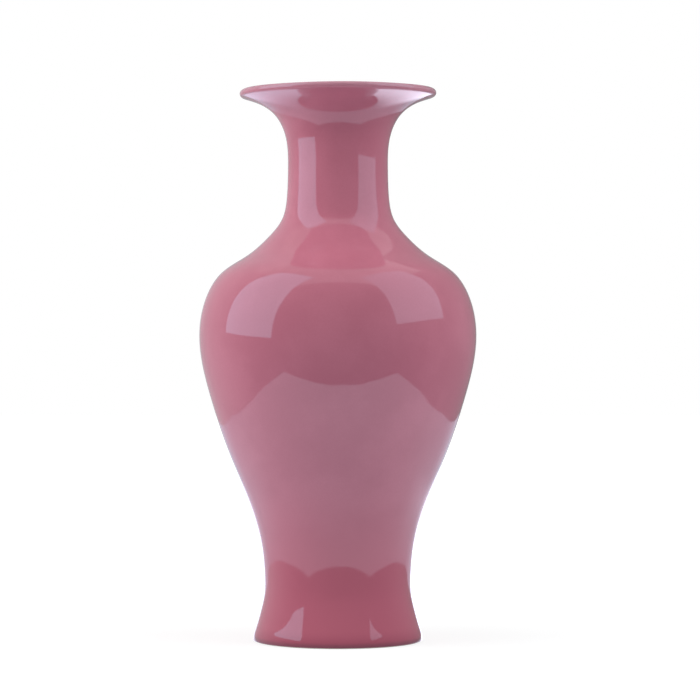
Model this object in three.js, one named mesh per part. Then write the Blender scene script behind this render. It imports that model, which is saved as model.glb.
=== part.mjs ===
// A tall porcelain vase: trumpet mouth, waisted neck, high round shoulder, tapering body and splayed foot.
// Millimetres, +Z up, origin at the centre of the foot's standing face. Every piece is turned about Z.
//
// The clay is four thrown sections stacked on three seams of luting slip. A rose-pink glaze coats the outside
// and turns over the lip, a clear glaze lines the inside, and another covers the recess under the base.

import * as THREE from "three";

// ---- driving dimensions ----------------------------------------------------------------------------------

const HEIGHT = 360; // standing face to the top of the lip
const BELLY_RADIUS = 90.5; // widest line of the body
const BELLY_HEIGHT = 200;
const NECK_RADIUS = 32.7; // narrowest line of the neck
const NECK_HEIGHT = 308;
const FOOT_RADIUS = 55.3; // outer corner of the foot
const SHANK_RADIUS = 47.8; // narrowest line above the foot
const SHANK_HEIGHT = 41;
const MOUTH_RADIUS = 64.2; // outermost edge of the lip
const LIP_THICKNESS = 4.6; // the rounded lip, glazes included

const OUTER_GLAZE = 0.5; // coat thicknesses
const INNER_GLAZE = 0.4;
const BASE_GLAZE = 0.4;
const CLEARANCE = 0.3; // kept between solids that touch
const GLAZE_LINE = 0.8; // height where the pink glaze stops above the standing face
const LIP_SHARE = 0.9; // share of the lip's half round that the pink glaze covers

const FLOOR_TOP = 15; // glazed floor inside the vase
const FLOOR_CORNER = 11; // radius of the corner between wall and floor
const RECESS_DEPTH = 6; // glazed ceiling of the recess, above the standing face
const RECESS_RADIUS = 45.9; // glazed wall of the recess
const RECESS_CORNER = 3; // radius of the corner between that wall and the ceiling
const RING_CHAMFER = 0.8; // turned bevel on both edges of the ring that the vase stands on

const SLIP_THICKNESS = 0.8; // luting slip squeezed between two sections
const SHANK_SEAM = 62; // heights of the three seams
const BELLY_SEAM = BELLY_HEIGHT;
const NECK_SEAM = 263;

const SEGMENTS = 32; // flats around the axis
const CHORD_ERROR = 0.6; // how far a chord may lie from the wall's smooth curve
const CORNER_STEPS = 4; // chords in a quarter-round corner
const LIP_STEPS = 5; // chords in the lip's half round

// ---- profiles: [radius, height] pairs in the half plane of the axis --------------------------------------

// The outside of the vase, glaze included, from the foot's corner to the start of the lip's round.
const OUTSIDE = [
  [FOOT_RADIUS, 0],
  [54.8, 4],
  [53.6, 8],
  [51.8, 14],
  [49.7, 22],
  [48.1, 30],
  [SHANK_RADIUS, SHANK_HEIGHT],
  [49.7, 62],
  [57.5, 90],
  [70.6, 122],
  [83.4, 160],
  [BELLY_RADIUS, BELLY_HEIGHT],
  [85.4, 226],
  [76.4, 240],
  [58.9, 252],
  [45.3, 264],
  [36.4, 276],
  [33.4, 290],
  [NECK_RADIUS, NECK_HEIGHT],
  [34.9, 332],
  [42.2, 345],
  [53.0, 352.2],
  [MOUTH_RADIUS - 0.34 * LIP_THICKNESS, HEIGHT - 0.97 * LIP_THICKNESS],
];

// Wall thickness with both glazes, as [height, thickness].
const WALL = [
  [0, 8.0],
  [SHANK_HEIGHT, 7.0],
  [90, 6.0],
  [BELLY_HEIGHT, 4.8],
  [NECK_SEAM, 5.6],
  [NECK_HEIGHT, 4.8],
  [345, 3.8],
  [HEIGHT - LIP_THICKNESS, LIP_THICKNESS],
];

// Second derivatives of the natural cubic spline through values at the given knots.
function splineBend(knots, values) {
  const last = knots.length - 1;
  const bend = new Array(last + 1).fill(0);
  const carry = new Array(last + 1).fill(0);
  for (let i = 1; i < last; i++) {
    const before = knots[i] - knots[i - 1];
    const after = knots[i + 1] - knots[i];
    const slopeChange =
      (values[i + 1] - values[i]) / after -
      (values[i] - values[i - 1]) / before;
    const pivot = 2 * (before + after) - before * carry[i - 1];
    carry[i] = after / pivot;
    bend[i] = (6 * slopeChange - before * bend[i - 1]) / pivot;
  }
  for (let i = last - 1; i > 0; i--) bend[i] -= carry[i] * bend[i + 1];
  return bend;
}

// A smooth curve through 2-D points. Its parameter runs from 0 to 1 in proportion to the chords' length.
class SmoothCurve extends THREE.Curve {
  constructor(points) {
    super();
    this.knots = [0];
    for (let i = 1; i < points.length; i++) {
      const step = Math.hypot(
        points[i][0] - points[i - 1][0],
        points[i][1] - points[i - 1][1],
      );
      this.knots.push(this.knots[i - 1] + step);
    }
    this.axes = [0, 1].map((axis) => points.map((point) => point[axis]));
    this.bends = this.axes.map((values) => splineBend(this.knots, values));
  }

  getPoint(t, target = new THREE.Vector2()) {
    const { knots, axes, bends } = this;
    const at = t * knots[knots.length - 1];
    let i = 0;
    while (i < knots.length - 2 && knots[i + 1] < at) i++;
    const span = knots[i + 1] - knots[i];
    const b = (at - knots[i]) / span;
    const a = 1 - b;
    const [x, y] = axes.map((values, axis) => {
      const bend = bends[axis];
      const straight = a * values[i] + b * values[i + 1];
      const curved = (a ** 3 - a) * bend[i] + (b ** 3 - b) * bend[i + 1];
      return straight + (curved * span ** 2) / 6;
    });
    return target.set(x, y);
  }
}

const outside = new SmoothCurve(OUTSIDE);
const outsideLength = outside.getLength();

function wallThickness(height) {
  const above = WALL.findIndex(([stationHeight]) => stationHeight >= height);
  if (above === 0) return WALL[0][1];
  if (above < 0) return LIP_THICKNESS;
  const [lowHeight, lowWall] = WALL[above - 1];
  const [highHeight, highWall] = WALL[above];
  const share = (height - lowHeight) / (highHeight - lowHeight);
  return THREE.MathUtils.lerp(lowWall, highWall, share);
}

// A surface within the wall is a function that gives its depth under the outside, from the outside's height.
const fromOutside = (depth) => () => depth;
const fromInside = (depth) => (height) => wallThickness(height) - depth;

// The point of such a surface on the outside's normal at parameter t.
function wallPoint(t, surface) {
  const point = outside.getPoint(t);
  const tangent = outside.getTangent(t);
  const inward = new THREE.Vector2(-tangent.y, tangent.x);
  return point.clone().addScaledVector(inward, surface(point.y));
}

// The parameter where a surface reaches a height.
function stationAt(height, surface = fromOutside(0)) {
  let low = 0;
  let high = 1;
  for (let halving = 0; halving < 40; halving++) {
    const middle = (low + high) / 2;
    if (wallPoint(middle, surface).y < height) low = middle;
    else high = middle;
  }
  return low;
}

// ---- stations: parameters that every piece of the wall shares, so that nested pieces never touch ---------

const shankSeam = stationAt(SHANK_SEAM);
const bellySeam = stationAt(BELLY_SEAM);
const neckSeam = stationAt(NECK_SEAM);
const lip = 1;
const sharedStations = [
  ...stationsBetween(0, shankSeam),
  shankSeam,
  ...stationsBetween(shankSeam, bellySeam),
  bellySeam,
  ...stationsBetween(bellySeam, neckSeam),
  neckSeam,
  ...stationsBetween(neckSeam, lip),
];

// How far the outside strays from the chord between two stations.
function stray(start, end) {
  const from = outside.getPoint(start);
  const chord = outside.getPoint(end).sub(from);
  const strays = [0.25, 0.5, 0.75].map((share) => {
    const point = outside.getPoint(THREE.MathUtils.lerp(start, end, share));
    return Math.abs(chord.cross(point.sub(from))) / chord.length();
  });
  return Math.max(...strays);
}

// The stations that two others need between them: steps are halved until no chord strays too far.
function stationsBetween(start, end) {
  if (stray(start, end) < CHORD_ERROR) return [];
  const middle = (start + end) / 2;
  return [
    ...stationsBetween(start, middle),
    middle,
    ...stationsBetween(middle, end),
  ];
}

// ---- outlines ---------------------------------------------------------------------------------------------

// A surface of the wall between two stations, bottom to top.
function side(start, end, surface) {
  const between = sharedStations.filter((t) => t > start && t < end);
  return [start, ...between, end].map((t) => wallPoint(t, surface));
}

// Points of a round from one angle to another, both included.
function round(centre, radius, from, to, chords) {
  return Array.from({ length: chords + 1 }, (_, i) => {
    const angle = THREE.MathUtils.lerp(from, to, i / chords);
    return new THREE.Vector2(
      centre.x + radius * Math.cos(angle),
      centre.y + radius * Math.sin(angle),
    );
  });
}

// The lip's half round, from outerDepth under the outside to innerDepth under the inside, or a share of it.
function lipRound(outerDepth, innerDepth, share = 1) {
  const radius = (LIP_THICKNESS - outerDepth - innerDepth) / 2;
  const centre = wallPoint(lip, fromOutside(outerDepth + radius));
  const start = wallPoint(lip, fromOutside(outerDepth)).sub(centre);
  const angle = Math.atan2(start.y, start.x);
  const chords = Math.round(LIP_STEPS * share);
  return round(centre, radius, angle, angle + Math.PI * share, chords);
}

// The inside of the vase from a station down to the floor and in to the axis, depth behind its glaze.
function lining(depth, highest) {
  const centreHeight = FLOOR_TOP + FLOOR_CORNER;
  const floorStart = stationAt(centreHeight, fromInside(-FLOOR_CORNER));
  const wall = side(floorStart, highest, fromInside(depth)).reverse();
  const centre = wallPoint(floorStart, fromInside(-FLOOR_CORNER));
  const foot = wall[wall.length - 1].clone().sub(centre);
  const angle = Math.atan2(foot.y, foot.x);
  const radius = FLOOR_CORNER + depth;
  const corner = round(centre, radius, angle, -Math.PI / 2, CORNER_STEPS);
  return [...wall, ...corner.slice(1), new THREE.Vector2(0, FLOOR_TOP - depth)];
}

// The recess under the base from the axis out to the foot of its wall, depth behind its glaze.
function recess(depth) {
  const radius = RECESS_CORNER + depth;
  const ceiling = RECESS_DEPTH + depth;
  const centre = new THREE.Vector2(
    RECESS_RADIUS - RECESS_CORNER,
    RECESS_DEPTH - RECESS_CORNER,
  );
  return [
    new THREE.Vector2(0, ceiling),
    ...round(centre, radius, Math.PI / 2, 0, CORNER_STEPS),
  ];
}

// ---- materials --------------------------------------------------------------------------------------------

const finish = (color, roughness) =>
  new THREE.MeshStandardMaterial({ color, roughness, metalness: 0 });

const PINK_GLAZE = finish(0xc0697f, 0.08);
const CLEAR_GLAZE = finish(0xece9e4, 0.1);
const PORCELAIN = finish(0xe9e4dc, 0.7);
const SLIP = finish(0xdfd8cc, 0.85);

// ---- pieces -----------------------------------------------------------------------------------------------

const vase = new THREE.Group();
vase.rotation.x = Math.PI / 2; // LatheGeometry turns about Y, and the vase stands on Z

// outline runs anticlockwise with the axis on its left, and either closes on itself or ends on the axis.
function turn(name, outline, material) {
  const onAxis = outline[0].x === 0 && outline[outline.length - 1].x === 0;
  const closed = onAxis ? outline : [...outline, outline[0].clone()];
  const geometry = new THREE.LatheGeometry(closed, SEGMENTS);
  const mesh = new THREE.Mesh(geometry, material);
  mesh.name = name;
  vase.add(mesh);
}

const clayOutside = fromOutside(OUTER_GLAZE + CLEARANCE);
const clayInside = fromInside(INNER_GLAZE + CLEARANCE);
const slipHalf = SLIP_THICKNESS / 2 / outsideLength; // from a seam to the face of its slip
const jointHalf = slipHalf + CLEARANCE / outsideLength; // from a seam to the end of a section

// A plain ring of the wall between two stations, as deep as the clay.
function wallRing(start, end) {
  return [
    ...side(start, end, clayOutside),
    ...side(start, end, clayInside).reverse(),
  ];
}

function addFootSection() {
  const top = shankSeam - jointHalf;
  const underside = recess(BASE_GLAZE + CLEARANCE);
  const ringInner = underside[underside.length - 1].x;
  const outer = side(stationAt(RING_CHAMFER), top, clayOutside);
  const ring = [
    new THREE.Vector2(ringInner, RING_CHAMFER),
    new THREE.Vector2(ringInner + RING_CHAMFER, 0),
    new THREE.Vector2(outer[0].x - RING_CHAMFER, 0),
  ];
  const inner = lining(INNER_GLAZE + CLEARANCE, top);
  turn("foot_section", [...underside, ...ring, ...outer, ...inner], PORCELAIN);
}

function addLowerBodySection() {
  const ring = wallRing(shankSeam + jointHalf, bellySeam - jointHalf);
  turn("lower_body_section", ring, PORCELAIN);
}

function addShoulderSection() {
  const ring = wallRing(bellySeam + jointHalf, neckSeam - jointHalf);
  turn("shoulder_section", ring, PORCELAIN);
}

function addNeckAndMouthSection() {
  const bottom = neckSeam + jointHalf;
  const outline = [
    ...side(bottom, lip, clayOutside),
    ...lipRound(OUTER_GLAZE + CLEARANCE, INNER_GLAZE + CLEARANCE).slice(1, -1),
    ...side(bottom, lip, clayInside).reverse(),
  ];
  turn("neck_and_mouth_section", outline, PORCELAIN);
}

function addSeamSlip(name, seam) {
  turn(name, wallRing(seam - slipHalf, seam + slipHalf), SLIP);
}

function addOuterGlaze() {
  const hidden = OUTER_GLAZE;
  const glazeLine = stationAt(GLAZE_LINE);
  const outline = [
    ...side(glazeLine, lip, fromOutside(0)),
    ...lipRound(0, 0, LIP_SHARE).slice(1),
    ...lipRound(hidden, hidden, LIP_SHARE).slice(1).reverse(),
    ...side(glazeLine, lip, fromOutside(hidden)).reverse(),
  ];
  turn("outer_glaze", outline, PINK_GLAZE);
}

function addInnerGlaze() {
  const hidden = lining(INNER_GLAZE, lip).reverse();
  turn("inner_glaze", [...hidden, ...lining(0, lip)], CLEAR_GLAZE);
}

function addBaseGlaze() {
  const hidden = recess(BASE_GLAZE).reverse();
  turn("base_glaze", [...recess(0), ...hidden], CLEAR_GLAZE);
}

addFootSection();
addLowerBodySection();
addShoulderSection();
addNeckAndMouthSection();
addSeamSlip("shank_seam_slip", shankSeam);
addSeamSlip("belly_seam_slip", bellySeam);
addSeamSlip("neck_seam_slip", neckSeam);
addOuterGlaze();
addInnerGlaze();
addBaseGlaze();

export default vase;
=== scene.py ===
import math

import bpy
import numpy as np
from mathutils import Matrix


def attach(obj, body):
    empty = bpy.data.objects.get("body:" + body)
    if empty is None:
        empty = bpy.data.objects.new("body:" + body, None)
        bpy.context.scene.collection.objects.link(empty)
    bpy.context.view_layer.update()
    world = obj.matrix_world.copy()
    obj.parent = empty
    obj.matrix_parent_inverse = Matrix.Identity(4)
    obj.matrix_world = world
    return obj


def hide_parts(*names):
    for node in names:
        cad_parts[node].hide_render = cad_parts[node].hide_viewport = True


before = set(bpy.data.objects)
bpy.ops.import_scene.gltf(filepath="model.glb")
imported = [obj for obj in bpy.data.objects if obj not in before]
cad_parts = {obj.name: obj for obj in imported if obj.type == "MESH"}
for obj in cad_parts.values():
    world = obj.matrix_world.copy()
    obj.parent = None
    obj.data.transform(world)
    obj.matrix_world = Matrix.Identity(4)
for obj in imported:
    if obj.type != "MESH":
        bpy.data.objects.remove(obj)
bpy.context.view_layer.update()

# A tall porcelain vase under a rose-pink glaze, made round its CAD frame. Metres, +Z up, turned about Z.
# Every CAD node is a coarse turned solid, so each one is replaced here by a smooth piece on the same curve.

MM = 0.001

# ---- sizes, in millimetres as the CAD part has them ----------------------------------------------

HEIGHT = 360
BELLY_RADIUS, BELLY_HEIGHT = 90.5, 200
NECK_RADIUS, NECK_HEIGHT = 32.7, 308
FOOT_RADIUS = 55.3
SHANK_RADIUS, SHANK_HEIGHT = 47.8, 41
MOUTH_RADIUS = 64.2
LIP_THICKNESS = 4.6

OUTER_GLAZE = 0.5
INNER_GLAZE = 0.4
BASE_GLAZE = 0.4
CLEARANCE = 0.3
GLAZE_LINE = 0.8  # height where the pink glaze stops
LIP_SHARE = 0.9  # share of the lip's half round under pink glaze

FLOOR_TOP = 15
FLOOR_CORNER = 11
RECESS_DEPTH = 6
RECESS_RADIUS = 45.9
RECESS_CORNER = 3
RING_ROUND = 0.8  # worn round on both edges of the standing ring

SLIP_THICKNESS = 0.8
SHANK_SEAM, BELLY_SEAM, NECK_SEAM = 62, BELLY_HEIGHT, 263

# The outside from the foot's corner to the start of the lip's round, as [radius, height].
OUTSIDE = [
    [FOOT_RADIUS, 0],
    [54.8, 4],
    [53.6, 8],
    [51.8, 14],
    [49.7, 22],
    [48.1, 30],
    [SHANK_RADIUS, SHANK_HEIGHT],
    [49.7, 62],
    [57.5, 90],
    [70.6, 122],
    [83.4, 160],
    [BELLY_RADIUS, BELLY_HEIGHT],
    [85.4, 226],
    [76.4, 240],
    [58.9, 252],
    [45.3, 264],
    [36.4, 276],
    [33.4, 290],
    [NECK_RADIUS, NECK_HEIGHT],
    [34.9, 332],
    [42.2, 345],
    [53.0, 352.2],
    [MOUTH_RADIUS - 0.34 * LIP_THICKNESS, HEIGHT - 0.97 * LIP_THICKNESS],
]

# Wall thickness with both glazes, by height.
WALL_HEIGHTS = [0, SHANK_HEIGHT, 90, BELLY_HEIGHT, NECK_SEAM, NECK_HEIGHT, 345, HEIGHT - LIP_THICKNESS]
WALL_THICKNESS = [8.0, 7.0, 6.0, 4.8, 5.6, 4.8, 3.8, LIP_THICKNESS]

# Rows of faces along the outlines, and faces around the axis.
ROWS = 320  # up the whole wall, where it shows
HIDDEN_ROWS = 160
CORNER_ROWS = 14
LIP_ROWS = 24
BEAD_ROWS = 8
RING_EDGE_ROWS = 6
RING_FACE_ROWS = 4
SHOWN_SEGMENTS = 288
HIDDEN_SEGMENTS = 144

HALVINGS = 40  # steps in the search for a height along the curve


# ---- the turned curve ----------------------------------------------------------------------------

class SmoothCurve:
    """The natural cubic spline through 2-D points; its parameter runs from 0 to 1 with the chords' length."""

    def __init__(self, points):
        self.points = np.array(points, float)
        steps = np.hypot(*np.diff(self.points, axis=0).T)
        self.knots = np.concatenate([[0], np.cumsum(steps)])
        self.bend = self._second_derivatives(steps)

    def _second_derivatives(self, steps):
        count = len(self.knots)
        matrix = np.eye(count)
        target = np.zeros((count, 2))
        for i in range(1, count - 1):
            before, after = steps[i - 1], steps[i]
            matrix[i, i - 1 : i + 2] = before, 2 * (before + after), after
            rise = np.diff(self.points[i - 1 : i + 2], axis=0)
            target[i] = 6 * (rise[1] / after - rise[0] / before)
        return np.linalg.solve(matrix, target)

    def at(self, t):
        """(points, unit tangents) at an array of parameters."""
        where = np.asarray(t, float) * self.knots[-1]
        i = np.clip(np.searchsorted(self.knots, where) - 1, 0, len(self.knots) - 2)
        span = (self.knots[i + 1] - self.knots[i])[:, None]
        b = (where - self.knots[i])[:, None] / span
        a = 1 - b
        low, high = self.points[i], self.points[i + 1]
        low_bend, high_bend = self.bend[i], self.bend[i + 1]
        point = a * low + b * high + ((a**3 - a) * low_bend + (b**3 - b) * high_bend) * span**2 / 6
        slope = (high - low) / span + ((3 * b**2 - 1) * high_bend - (3 * a**2 - 1) * low_bend) * span / 6
        return point, slope / np.linalg.norm(slope, axis=1)[:, None]


outside = SmoothCurve(OUTSIDE)


def wall_points(t, depth):
    """Points under the outside at parameters t. depth(heights) gives how deep they lie along the normal."""
    point, tangent = outside.at(t)
    inward = np.stack([-tangent[:, 1], tangent[:, 0]], axis=1)
    return point + inward * depth(point[:, 1])[:, None]


def from_outside(depth):
    return lambda height: np.full_like(height, depth)


def from_inside(depth):
    return lambda height: np.interp(height, WALL_HEIGHTS, WALL_THICKNESS) - depth


def station_at(height, depth=from_outside(0)):
    """The parameter where a surface in the wall reaches a height."""
    low, high = 0.0, 1.0
    for _ in range(HALVINGS):
        middle = (low + high) / 2
        if wall_points([middle], depth)[0, 1] < height:
            low = middle
        else:
            high = middle
    return low


def side(start, end, depth, rows=HIDDEN_ROWS):
    """A surface in the wall between two stations. rows is for the whole height of the wall."""
    count = max(2, round(rows * (end - start)))
    return wall_points(np.linspace(start, end, count + 1), depth)


def arc(centre, radius, start, end, rows):
    angle = np.linspace(start, end, rows + 1)
    return np.asarray(centre) + radius * np.stack([np.cos(angle), np.sin(angle)], axis=1)


def lip_round(outer_depth, inner_depth, share=1.0):
    """The lip's half round, or a share of it, from outer_depth under the outside."""
    radius = (LIP_THICKNESS - outer_depth - inner_depth) / 2
    centre = wall_points([1.0], from_outside(outer_depth + radius))[0]
    start = wall_points([1.0], from_outside(outer_depth))[0] - centre
    angle = math.atan2(start[1], start[0])
    return arc(centre, radius, angle, angle + math.pi * share, round(LIP_ROWS * share))


def lining(depth, highest, rows=HIDDEN_ROWS):
    """The inside of the vase from a station down to the floor and in to the axis, depth behind its glaze."""
    floor_start = station_at(FLOOR_TOP + FLOOR_CORNER, from_inside(-FLOOR_CORNER))
    wall = side(floor_start, highest, from_inside(depth), rows)[::-1]
    centre = wall_points([floor_start], from_inside(-FLOOR_CORNER))[0]
    start = wall[-1] - centre
    corner = arc(centre, FLOOR_CORNER + depth, math.atan2(start[1], start[0]), -math.pi / 2, CORNER_ROWS)
    floor = np.linspace(corner[-1], [0, FLOOR_TOP - depth], CORNER_ROWS)
    return np.concatenate([wall, corner[1:], floor[1:]])


def recess(depth):
    """The recess under the base from the axis out to the foot of its wall, depth behind its glaze."""
    corner_centre = [RECESS_RADIUS - RECESS_CORNER, RECESS_DEPTH - RECESS_CORNER]
    corner = arc(corner_centre, RECESS_CORNER + depth, math.pi / 2, 0, CORNER_ROWS)
    ceiling = np.linspace([0, RECESS_DEPTH + depth], corner[0], CORNER_ROWS)
    return np.concatenate([ceiling[:-1], corner])


# ---- turning an outline into a mesh --------------------------------------------------------------

OUT_OF_ROUND = 0.12 * MM  # how far the thrown wall leaves a true circle
LIP_WAVE = 0.18 * MM  # how far the rim rises and falls
LIP_TILT = 0.4 * MM  # how far it leans down towards -X
LEVEL_BELOW = 300 * MM  # the rim's wave and lean fade out down to here


def hand_thrown(angle, radius, height):
    """The small departures from a true circle that throwing and firing leave, the same for every piece."""
    share = radius / (BELLY_RADIUS * MM)
    oval = np.cos(2 * angle + 0.7) + 0.45 * np.cos(3 * angle + 2.1 + 9 * height)
    near_lip = np.clip((height - LEVEL_BELOW) / (HEIGHT * MM - LEVEL_BELOW), 0, 1) ** 2
    wave = LIP_WAVE * (np.cos(2 * angle - 0.4) + 0.5 * np.cos(5 * angle + 1.2))
    rise = near_lip * (wave + LIP_TILT * np.cos(angle))
    return radius + OUT_OF_ROUND * share * oval, height + rise


def revolve(name, outline, segments):
    """outline is [radius, height] in millimetres, anticlockwise with the axis on its left. It closes on
    itself, or runs from the axis to the axis."""
    outline = np.asarray(outline) * MM
    on_axis = outline[0, 0] < 1e-9 and outline[-1, 0] < 1e-9
    rings = outline[1:-1] if on_axis else outline
    angle = np.linspace(0, 2 * math.pi, segments, endpoint=False)
    turn, radius = np.meshgrid(angle, rings[:, 0])
    height = np.meshgrid(angle, rings[:, 1])[1]
    radius, height = hand_thrown(turn, radius, height)
    points = np.stack([radius * np.cos(turn), radius * np.sin(turn), height], axis=-1).reshape(-1, 3).tolist()

    def vertex(ring, segment):
        return (ring % len(rings)) * segments + segment % segments

    last = len(rings) - 1 if on_axis else len(rings)
    faces = [
        (vertex(r, s), vertex(r, s + 1), vertex(r + 1, s + 1), vertex(r + 1, s))
        for r in range(last)
        for s in range(segments)
    ]
    if on_axis:
        points += [[0, 0, float(outline[0, 1])], [0, 0, float(outline[-1, 1])]]
        first_pole, last_pole = len(points) - 2, len(points) - 1
        for s in range(segments):
            faces.append((first_pole, vertex(0, s + 1), vertex(0, s)))
            faces.append((last_pole, vertex(last, s), vertex(last, s + 1)))
    mesh = bpy.data.meshes.new(name)
    mesh.from_pydata(points, [], faces)
    mesh.validate()
    mesh.shade_smooth()
    piece = bpy.data.objects.new(name, mesh)
    bpy.context.scene.collection.objects.link(piece)
    return piece


def finish_piece(piece, node, material):
    piece.data.materials.append(material)
    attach(piece, "root")
    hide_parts(node)


# ---- materials -----------------------------------------------------------------------------------

class Nodes:
    """A node tree with short calls for the nodes used here. Its patterns follow one texture coordinate."""

    def __init__(self, tree, coordinate):
        self.tree = tree
        self.place = tree.nodes.new("ShaderNodeTexCoord").outputs[coordinate]

    def link(self, source, target):
        self.tree.links.new(source, target)

    def node(self, kind, **inputs):
        made = self.tree.nodes.new(kind)
        for key, value in inputs.items():
            self.feed(made.inputs[key], value)
        return made

    def feed(self, socket, value):
        """Gives a socket a value, or what comes out of another socket."""
        if isinstance(value, bpy.types.NodeSocket):
            self.link(value, socket)
        else:
            socket.default_value = value

    def axes(self):
        return self.node("ShaderNodeSeparateXYZ", Vector=self.place).outputs

    def distance(self):
        """The distance from the vase's origin."""
        made = self.node("ShaderNodeVectorMath", Vector=self.place)
        made.operation = "LENGTH"
        return made.outputs["Value"]

    def noise(self, scale, detail):
        made = self.node("ShaderNodeTexNoise", Vector=self.place, Scale=scale, Detail=detail, Roughness=0.5)
        return made.outputs["Fac"]

    def ramp(self, value, low, high, to_low=0.0, to_high=1.0):
        made = self.tree.nodes.new("ShaderNodeMapRange")
        made.interpolation_type = "SMOOTHSTEP"
        self.link(value, made.inputs["Value"])
        for key, number in zip(("From Min", "From Max", "To Min", "To Max"), (low, high, to_low, to_high)):
            made.inputs[key].default_value = number
        return made.outputs["Result"]

    def mix(self, share, first, second):
        made = self.tree.nodes.new("ShaderNodeMix")
        made.data_type = "RGBA"
        for key, value in (("Factor_Float", share), ("A_Color", first), ("B_Color", second)):
            self.feed(next(s for s in made.inputs if s.identifier == key), value)
        return next(s for s in made.outputs if s.identifier == "Result_Color")

    def bump(self, value, distance, below=None):
        made = self.node("ShaderNodeBump", Strength=1.0, Distance=distance, Height=value)
        if below is not None:
            self.link(below, made.inputs["Normal"])
        return made.outputs["Normal"]


class Material(Nodes):
    """A new material, with its shader."""

    def __init__(self, name):
        self.material = bpy.data.materials.new(name)
        self.material.use_nodes = True
        super().__init__(self.material.node_tree, "Object")
        self.shader = self.tree.nodes["Principled BSDF"]

    def surface(self, colour, roughness, normal):
        for key, source in (("Base Color", colour), ("Roughness", roughness), ("Normal", normal)):
            self.link(source, self.shader.inputs[key])
        return self.material


GLAZE_IOR = 1.52


def pink_glaze():
    """A clouded rose glaze. It is thin and pale at the lip and deeper in colour down the taper. Its lowest 12
    mm carry painted shade, and a painted contact shadow runs along its lowest edge."""
    n = Material("pink_glaze")
    clouds = n.ramp(n.noise(22, 4), 0.35, 0.65)
    body = n.mix(clouds, (0.57, 0.175, 0.245, 1), (0.615, 0.195, 0.270, 1))
    height = n.axes()["Z"]
    grain = n.ramp(n.noise(900, 2), 0.30, 0.70, 0.0, 0.10)
    thin_at_lip = n.ramp(height, 356 * MM, 358.5 * MM, 0.0, 0.6)
    # deeper in colour from 110 mm down to 45 mm
    deeper_below = n.ramp(height, 110 * MM, 45 * MM)
    # painted shade: the lowest 12 mm of the glaze darkened towards the floor
    painted_shade_at_foot = n.ramp(height, 12 * MM, 1 * MM, 0.0, 0.5)
    # painted contact shadow: a near-black band from 4.2 mm down to 1.2 mm, along the glaze's lowest edge
    painted_contact_shadow = n.ramp(height, 4.2 * MM, 1.2 * MM, 0.0, 0.6)
    layers = [
        (grain, (0.50, 0.13, 0.19, 1)),
        (thin_at_lip, (0.56, 0.30, 0.37, 1)),
        (deeper_below, (0.563, 0.149, 0.216, 1)),
        (painted_shade_at_foot, (0.365, 0.08, 0.131, 1)),
        (painted_contact_shadow, (0.20, 0.09, 0.12, 1)),
    ]
    for share, colour in layers:
        body = n.mix(share, body, colour)
    waves = n.bump(n.noise(70, 1), 0.04 * MM)
    ripples = n.bump(n.noise(650, 2), 0.004 * MM, waves)
    n.shader.inputs["IOR"].default_value = GLAZE_IOR
    return n.surface(body, n.ramp(n.noise(140, 3), 0.3, 0.7, 0.03, 0.06), ripples)


def clear_glaze():
    n = Material("clear_glaze")
    body = n.mix(n.ramp(n.noise(30, 4), 0.3, 0.7), (0.83, 0.785, 0.745, 1), (0.89, 0.845, 0.81, 1))
    n.shader.inputs["IOR"].default_value = GLAZE_IOR
    return n.surface(body, n.ramp(n.noise(160, 3), 0.3, 0.7, 0.06, 0.12), n.bump(n.noise(400, 2), 0.01 * MM))


def biscuit():
    n = Material("biscuit_porcelain")
    body = n.mix(n.ramp(n.noise(60, 5), 0.35, 0.7), (0.78, 0.73, 0.65, 1), (0.66, 0.58, 0.48, 1))
    return n.surface(body, n.ramp(n.noise(300, 3), 0.3, 0.7, 0.62, 0.85), n.bump(n.noise(1800, 3), 0.06 * MM))


def luting_slip():
    n = Material("luting_slip")
    body = n.mix(n.noise(120, 4), (0.72, 0.67, 0.58, 1), (0.60, 0.54, 0.45, 1))
    return n.surface(body, n.ramp(n.noise(500, 3), 0.3, 0.7, 0.75, 0.95), n.bump(n.noise(900, 4), 0.2 * MM))


PINK = pink_glaze()
CLEAR = clear_glaze()
BISCUIT = biscuit()
SLIP = luting_slip()

# ---- pieces --------------------------------------------------------------------------------------

CLAY_OUTSIDE = from_outside(OUTER_GLAZE + CLEARANCE)
CLAY_INSIDE = from_inside(INNER_GLAZE + CLEARANCE)
SLIP_HALF = SLIP_THICKNESS / 2 / outside.knots[-1]
JOINT_HALF = SLIP_HALF + CLEARANCE / outside.knots[-1]
SHANK, BELLY, NECK = (station_at(height) for height in (SHANK_SEAM, BELLY_SEAM, NECK_SEAM))


def make_outer_glaze():
    start = station_at(GLAZE_LINE)
    hidden = side(start, 1, from_outside(OUTER_GLAZE))[::-1]
    shown = side(start, 1, from_outside(0), ROWS)
    bead_centre = wall_points([start], from_outside(OUTER_GLAZE / 2))[0]
    out = shown[0] - bead_centre
    angle = math.atan2(out[1], out[0])
    bead = arc(bead_centre, OUTER_GLAZE / 2, angle - math.pi, angle, BEAD_ROWS)
    over = lip_round(0, 0, LIP_SHARE)
    back = lip_round(OUTER_GLAZE, OUTER_GLAZE, LIP_SHARE)[::-1]
    outline = np.concatenate([bead[1:-1], shown, over[1:], back, hidden[1:]])
    finish_piece(revolve("pink_outer_glaze", outline, SHOWN_SEGMENTS), "outer_glaze", PINK)


def make_inner_glaze():
    outline = np.concatenate([lining(INNER_GLAZE, 1)[::-1], lining(0, 1, ROWS)])
    finish_piece(revolve("clear_inner_glaze", outline, SHOWN_SEGMENTS), "inner_glaze", CLEAR)


def make_base_glaze():
    outline = np.concatenate([recess(0), recess(BASE_GLAZE)[::-1]])
    finish_piece(revolve("clear_base_glaze", outline, HIDDEN_SEGMENTS), "base_glaze", CLEAR)


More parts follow.
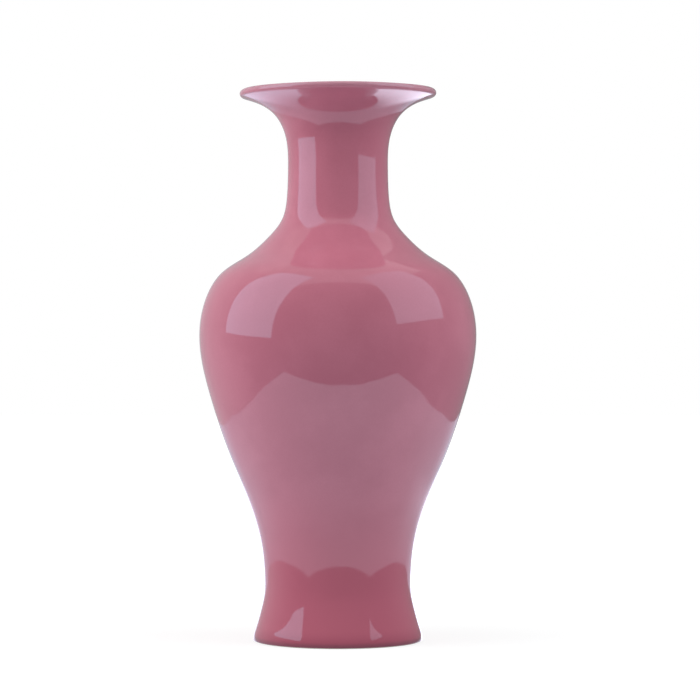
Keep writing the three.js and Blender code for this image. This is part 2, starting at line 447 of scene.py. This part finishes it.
def make_foot():
    top = SHANK - JOINT_HALF
    underside = recess(BASE_GLAZE + CLEARANCE)
    outer = side(station_at(RING_ROUND), top, CLAY_OUTSIDE)
    inner_centre = [underside[-1, 0] + RING_ROUND, RING_ROUND]
    outer_centre = [outer[0, 0] - RING_ROUND, RING_ROUND]
    inner_edge = arc(inner_centre, RING_ROUND, math.pi, 1.5 * math.pi, RING_EDGE_ROWS)
    outer_edge = arc(outer_centre, RING_ROUND, 1.5 * math.pi, 2 * math.pi, RING_EDGE_ROWS)
    ring = np.linspace(inner_edge[-1], outer_edge[0], RING_FACE_ROWS + 1)[1:-1]
    inner = lining(INNER_GLAZE + CLEARANCE, top)
    outline = np.concatenate([underside, inner_edge, ring, outer_edge[:-1], outer, inner])
    finish_piece(revolve("biscuit_foot", outline, SHOWN_SEGMENTS), "foot_section", BISCUIT)


def make_wall_ring(name, node, start, end, material=BISCUIT):
    outline = np.concatenate([side(start, end, CLAY_OUTSIDE), side(start, end, CLAY_INSIDE)[::-1]])
    finish_piece(revolve(name, outline, HIDDEN_SEGMENTS), node, material)


def make_neck_and_mouth():
    start = NECK + JOINT_HALF
    lip = lip_round(OUTER_GLAZE + CLEARANCE, INNER_GLAZE + CLEARANCE)[1:-1]
    outline = np.concatenate([side(start, 1, CLAY_OUTSIDE), lip, side(start, 1, CLAY_INSIDE)[::-1]])
    piece = revolve("biscuit_neck_and_mouth", outline, HIDDEN_SEGMENTS)
    finish_piece(piece, "neck_and_mouth_section", BISCUIT)


def make_slip(name, node, seam):
    make_wall_ring(name, node, seam - SLIP_HALF, seam + SLIP_HALF, SLIP)


make_foot()
make_wall_ring("biscuit_lower_body", "lower_body_section", SHANK + JOINT_HALF, BELLY - JOINT_HALF)
make_wall_ring("biscuit_shoulder", "shoulder_section", BELLY + JOINT_HALF, NECK - JOINT_HALF)
make_neck_and_mouth()
make_slip("shank_slip_ring", "shank_seam_slip", SHANK)
make_slip("belly_slip_ring", "belly_seam_slip", BELLY)
make_slip("neck_slip_ring", "neck_seam_slip", NECK)
make_outer_glaze()
make_inner_glaze()
make_base_glaze()

# ---- the studio's places and light ---------------------------------------------------------------

# What the glaze mirrors and what lights the vase are separate sheets, so that each has its own colour.

# Corners of the softboxes: front foot, back foot, back top, front top.
LEFT_SOFTBOX = [
    (-0.480, -0.371, 0.179),
    (-0.741, 0.128, 0.224),
    (-0.546, 0.111, 1.245),
    (-0.282, -0.369, 1.215),
]
RIGHT_SOFTBOX = [
    (0.658, -0.604, 0.343),
    (0.819, 0.072, 0.361),
    (0.500, 0.245, 1.150),
    (0.277, -0.378, 1.261),
]
SOFTBOX_FOOT, SOFTBOX_TOP = 1.08, 0.92  # strength

# The mirrored table top's outline as (x, y): its bowed front edge from left to right, then round the back.
TABLE_FRONT_EDGE = [(-0.44, -0.445), (-0.20, -0.462), (0.03, -0.465), (0.25, -0.445), (0.475, -0.405)]
TABLE_RIGHT_EDGE = [(0.545, -0.06), (0.60, 0.25), (0.66, 2.2)]
TABLE_LEFT_EDGE = [(-0.62, 2.2), (-0.60, 0.30), (-0.537, -0.05)]
TABLE_DROP = -0.057

TABLE_LIGHT_REACH, TABLE_LIGHT_DROP = 0.8, -0.002
FLOOR_REACH = 6
CEILING_SIDE, CEILING_FRONT, CEILING_BACK, CEILING_HEIGHT = 1.1, -0.9, 1.1, 1.75

CAMERA_PLACE = (0.0079, -1.78, 0.190)
CAMERA_LENS, CAMERA_SENSOR = 139.8, 36  # millimetres

# What the glaze mirrors.
LEFT_MIRRORED = (1.25, 2.0, 2.5, 1)
RIGHT_MIRRORED = (1.03, 1.37, 1.67, 1)
TABLE_NEAR = (0.89, 0.985, 1.18, 1)
TABLE_FRONT = (0.96, 1.17, 1.35, 1)
TABLE_BACK_LEFT = (1.4, 1.35, 1.7, 1)
TABLE_BACK_RIGHT = (2.4, 2.4, 2.9, 1)
TABLE_SIDE = (0.75, 0.85, 1.0, 1)
CEILING = (0.78, 0.75, 0.77, 1)
ROOM_FRONT = (0.003, 0.003, 0.003, 1)
ROOM_BACK_LEFT = (0.58, 0.575, 0.61, 1)
ROOM_BACK_RIGHT = (0.25, 0.27, 0.275, 1)

# What lights the vase.
LEFT_LIGHT = (2.45, 2.60, 2.57, 1)
RIGHT_LIGHT = (2.2, 2.45, 2.45, 1)
LIGHT_ABOVE = (0.43, 0.42, 0.42, 1)
LIGHT_BEYOND = (0.01, 0.01, 0.01, 1)
LIGHT_BELOW = (0.72, 0.85, 0.91, 1)
LIGHT_NEAR_LEFT = (0.68, 0.68, 0.68, 1)
LIGHT_NEAR_RIGHT = (0.40, 0.40, 0.40, 1)

# What the camera sees behind the vase.
FLOOR_GREY = (0.35, 0.35, 0.35, 1)
WHITE = (1, 1, 1, 1)


# ---- floor and light -----------------------------------------------------------------------------

def flat(name, corners, material):
    """A flat piece of the studio. It is no part of the vase."""
    mesh = bpy.data.meshes.new(name)
    mesh.from_pydata([list(corner) for corner in corners], [], [tuple(range(len(corners)))])
    mesh.materials.append(material)
    piece = bpy.data.objects.new(name, mesh)
    bpy.context.scene.collection.objects.link(piece)
    return piece


def level_corners(left, right, front, back, height):
    return [(left, front, height), (right, front, height), (right, back, height), (left, back, height)]


def level_square(reach, height):
    return level_corners(-reach, reach, -reach, reach, height)


def glow(n, colour, strength=1.0):
    """Turns a material into a lamp. colour and strength are values or sockets."""
    n.tree.nodes.remove(n.shader)
    lamp = n.node("ShaderNodeEmission", Color=colour, Strength=strength)
    n.link(lamp.outputs[0], n.tree.nodes["Material Output"].inputs["Surface"])
    return n.material


def make_floor():
    """A pale floor for the camera alone. It turns to plain white away from the vase, so it has no horizon."""
    n = Material("pale_floor")
    shader = n.shader.inputs
    shader["Base Color"].default_value = FLOOR_GREY
    shader["Roughness"].default_value = 0.9
    shader["Specular IOR Level"].default_value = 0.0
    shader["Emission Color"].default_value = WHITE
    # The floor's glow is painted light: 0.74 near the vase, rising to plain white half a metre out.
    n.link(n.ramp(n.distance(), 0.08, 0.5, 0.74, 1.0), shader["Emission Strength"])
    floor = flat("floor", level_square(FLOOR_REACH, 0), n.material)
    floor.visible_glossy = False
    floor.visible_diffuse = False


def make_card(name, corners, material, mirrored):
    """A glowing sheet that the camera doesn't see. The glaze mirrors it, or else it only lights the vase."""
    card = flat(name, corners, material)
    card.visible_camera = False
    card.visible_shadow = False
    card.visible_diffuse = not mirrored
    card.visible_glossy = mirrored


def make_table():
    """The table top that the glaze mirrors. It ends in a bowed edge in front, lies lower than the floor that
    the camera sees, and is brightest behind the vase."""
    n = Material("table_top")
    axes = n.axes()
    front = n.mix(n.ramp(n.distance(), 0.14, 0.44), TABLE_NEAR, TABLE_FRONT)
    behind = n.mix(n.ramp(axes["X"], -0.15, 0.15), TABLE_BACK_LEFT, TABLE_BACK_RIGHT)
    aside = n.node("ShaderNodeMath", Value=axes["X"])
    aside.operation = "ABSOLUTE"
    behind = n.mix(n.ramp(aside.outputs["Value"], 0.28, 0.38), behind, TABLE_SIDE)
    colour = n.mix(n.ramp(axes["Y"], 0.0, 0.45), front, behind)
    edge = TABLE_FRONT_EDGE + TABLE_RIGHT_EDGE + TABLE_LEFT_EDGE
    make_card("table", [(x, y, TABLE_DROP) for x, y in edge], glow(n, colour), mirrored=True)


def make_table_light():
    """The light that comes up off the table top. It is dimmer under the vase, most of all on the right."""
    n = Material("table_light")
    near = n.mix(n.ramp(n.axes()["X"], -0.1, 0.1), LIGHT_NEAR_LEFT, LIGHT_NEAR_RIGHT)
    colour = n.mix(n.ramp(n.distance(), 0.05, 0.3), near, LIGHT_BELOW)
    corners = level_square(TABLE_LIGHT_REACH, TABLE_LIGHT_DROP)
    make_card("table_light", corners, glow(n, colour), mirrored=False)


def make_ceiling():
    """A pale ceiling over the vase."""
    corners = level_corners(-CEILING_SIDE, CEILING_SIDE, CEILING_FRONT, CEILING_BACK, CEILING_HEIGHT)
    make_card("ceiling", corners, glow(Material("ceiling"), CEILING), mirrored=True)


def make_softbox(side_name, corners, mirrored_colour, light_colour):
    """A softbox, a little brighter at its foot than at its top, and the light it gives."""
    for name, colour, mirrored in (("softbox_", mirrored_colour, True), ("light_", light_colour, False)):
        n = Material(name + side_name)
        foot, top = corners[0][2], corners[2][2]
        strength = n.ramp(n.axes()["Z"], foot, top, SOFTBOX_FOOT, SOFTBOX_TOP)
        make_card(name + side_name, corners, glow(n, colour, strength), mirrored)


def make_world():
    """White for the camera, a room that is dim above and dark below for the light, and for reflections a room
    that is dark in front of the vase and pale behind it."""
    world = bpy.data.worlds.new("studio")
    bpy.context.scene.world = world
    world.use_nodes = True
    n = Nodes(world.node_tree, "Generated")
    axes = n.axes()
    light = n.mix(n.ramp(axes["Z"], -0.2, 0.4), LIGHT_BEYOND, LIGHT_ABOVE)
    behind = n.mix(n.ramp(axes["X"], -0.3, 0.3), ROOM_BACK_LEFT, ROOM_BACK_RIGHT)
    mirrored = n.mix(n.ramp(axes["Y"], -0.6, 0.6), ROOM_FRONT, behind)
    path = n.tree.nodes.new("ShaderNodeLightPath").outputs
    seen = n.mix(path["Is Glossy Ray"], light, mirrored)
    seen = n.mix(path["Is Camera Ray"], seen, WHITE)
    n.link(seen, n.tree.nodes["Background"].inputs["Color"])


def make_camera():
    data = bpy.data.cameras.new("camera")
    data.sensor_width = CAMERA_SENSOR
    data.lens = CAMERA_LENS
    data.clip_end = 30
    camera = bpy.data.objects.new("camera", data)
    camera.location = CAMERA_PLACE
    camera.rotation_euler = (math.pi / 2, 0, 0)
    bpy.context.scene.collection.objects.link(camera)
    bpy.context.scene.camera = camera


make_floor()
make_table()
make_table_light()
make_ceiling()
make_softbox("left", LEFT_SOFTBOX, LEFT_MIRRORED, LEFT_LIGHT)
make_softbox("right", RIGHT_SOFTBOX, RIGHT_MIRRORED, RIGHT_LIGHT)
make_world()
make_camera()
bpy.context.scene.view_settings.view_transform = "Standard"
